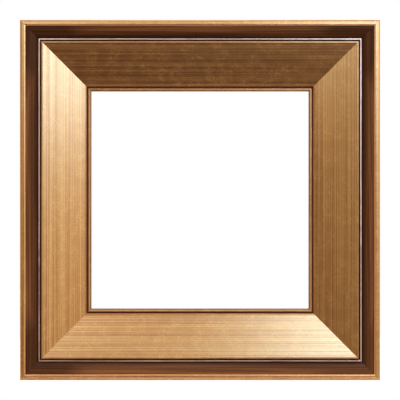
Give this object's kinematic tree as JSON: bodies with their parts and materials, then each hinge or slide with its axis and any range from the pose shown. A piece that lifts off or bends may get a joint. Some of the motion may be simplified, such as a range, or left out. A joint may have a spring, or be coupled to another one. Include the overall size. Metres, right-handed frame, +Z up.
{
  "type": "floater frame",
  "caption": "Square floater frame: gold-capped brown floater moulding round a silver slip and a wide sloped gold panel with a picture rabbet, hangers and turn buttons behind.",
  "frame": {"origin": "point on the wall behind the middle of the frame", "axes": "+X to the viewer's right, +Z up, +Y into the wall; the front faces -Y"},
  "size_m": [0.3992, 0.0435, 0.3992],
  "materials": {
    "lacquered_wood": "dark brown lacquer on wood, with a gold leaf cap and bare wood at the back",
    "silvered_wood": "warm silver leaf on a thin wood batten",
    "gilded_wood": "satin gold leaf with fine lines along the rail, bare wood at the back",
    "plated_steel": "bright zinc plate",
    "bumper_rubber": "matt dark rubber"
  },
  "bodies": {
    "frame": {"floater_rail_bottom": "lacquered_wood", "floater_rail_left": "lacquered_wood", "floater_rail_top": "lacquered_wood", "floater_rail_right": "lacquered_wood", "silver_slip_bottom": "silvered_wood", "silver_slip_left": "silvered_wood", "silver_slip_top": "silvered_wood", "silver_slip_right": "silvered_wood", "panel_rail_bottom": "gilded_wood", "panel_rail_left": "gilded_wood", "panel_rail_top": "gilded_wood", "panel_rail_right": "gilded_wood", "sight_fillet_bottom": "gilded_wood", "sight_fillet_left": "gilded_wood", "sight_fillet_top": "gilded_wood", "sight_fillet_right": "gilded_wood", "floater_nail_bottom_left_outer": "plated_steel", "floater_nail_bottom_left_inner": "plated_steel", "floater_nail_top_left_outer": "plated_steel", "floater_nail_top_left_inner": "plated_steel", "floater_nail_top_right_outer": "plated_steel", "floater_nail_top_right_inner": "plated_steel", "floater_nail_bottom_right_outer": "plated_steel", "floater_nail_bottom_right_inner": "plated_steel", "panel_nail_bottom_left_outer": "plated_steel", "panel_nail_bottom_left_inner": "plated_steel", "panel_nail_top_left_outer": "plated_steel", "panel_nail_top_left_inner": "plated_steel", "panel_nail_top_right_outer": "plated_steel", "panel_nail_top_right_inner": "plated_steel", "panel_nail_bottom_right_outer": "plated_steel", "panel_nail_bottom_right_inner": "plated_steel", "panel_screw_bottom_1": "plated_steel", "panel_screw_bottom_2": "plated_steel", "panel_screw_left_1": "plated_steel", "panel_screw_left_2": "plated_steel", "panel_screw_top_1": "plated_steel", "panel_screw_top_2": "plated_steel", "panel_screw_right_1": "plated_steel", "panel_screw_right_2": "plated_steel", "hanger_strap_left": "plated_steel", "hanger_strap_right": "plated_steel", "hanger_screw_left": "plated_steel", "hanger_screw_right": "plated_steel", "turn_button_screw_bottom": "plated_steel", "turn_button_screw_left": "plated_steel", "turn_button_screw_top": "plated_steel", "turn_button_screw_right": "plated_steel", "wall_bumper_left": "bumper_rubber", "wall_bumper_right": "bumper_rubber"},
    "left_ring": {"hanger_ring_left": "plated_steel"},
    "right_ring": {"hanger_ring_right": "plated_steel"},
    "bottom_button": {"turn_button_bottom": "plated_steel"},
    "left_button": {"turn_button_left": "plated_steel"},
    "top_button": {"turn_button_top": "plated_steel"},
    "right_button": {"turn_button_right": "plated_steel"}
  },
  "joints": [
    {"name": "left_ring_swing", "type": "hinge", "parent": "frame", "child": "left_ring", "pos_m": [-0.16655, -0.0025, 0.066], "axis": [0, 0, 1], "range_deg": [-20, 170]},
    {"name": "right_ring_swing", "type": "hinge", "parent": "frame", "child": "right_ring", "pos_m": [0.16655, -0.0025, 0.066], "axis": [0, 0, -1], "range_deg": [-20, 170]},
    {"name": "bottom_button_turn", "type": "hinge", "parent": "frame", "child": "bottom_button", "pos_m": [0, -0.0123, -0.1366], "axis": [0, 1, 0], "continuous": true},
    {"name": "left_button_turn", "type": "hinge", "parent": "frame", "child": "left_button", "pos_m": [-0.1366, -0.0123, 0], "axis": [0, 1, 0], "continuous": true},
    {"name": "top_button_turn", "type": "hinge", "parent": "frame", "child": "top_button", "pos_m": [0, -0.0123, 0.1366], "axis": [0, 1, 0], "continuous": true},
    {"name": "right_button_turn", "type": "hinge", "parent": "frame", "child": "right_button", "pos_m": [0.1366, -0.0123, 0], "axis": [0, 1, 0], "continuous": true}
  ]
}
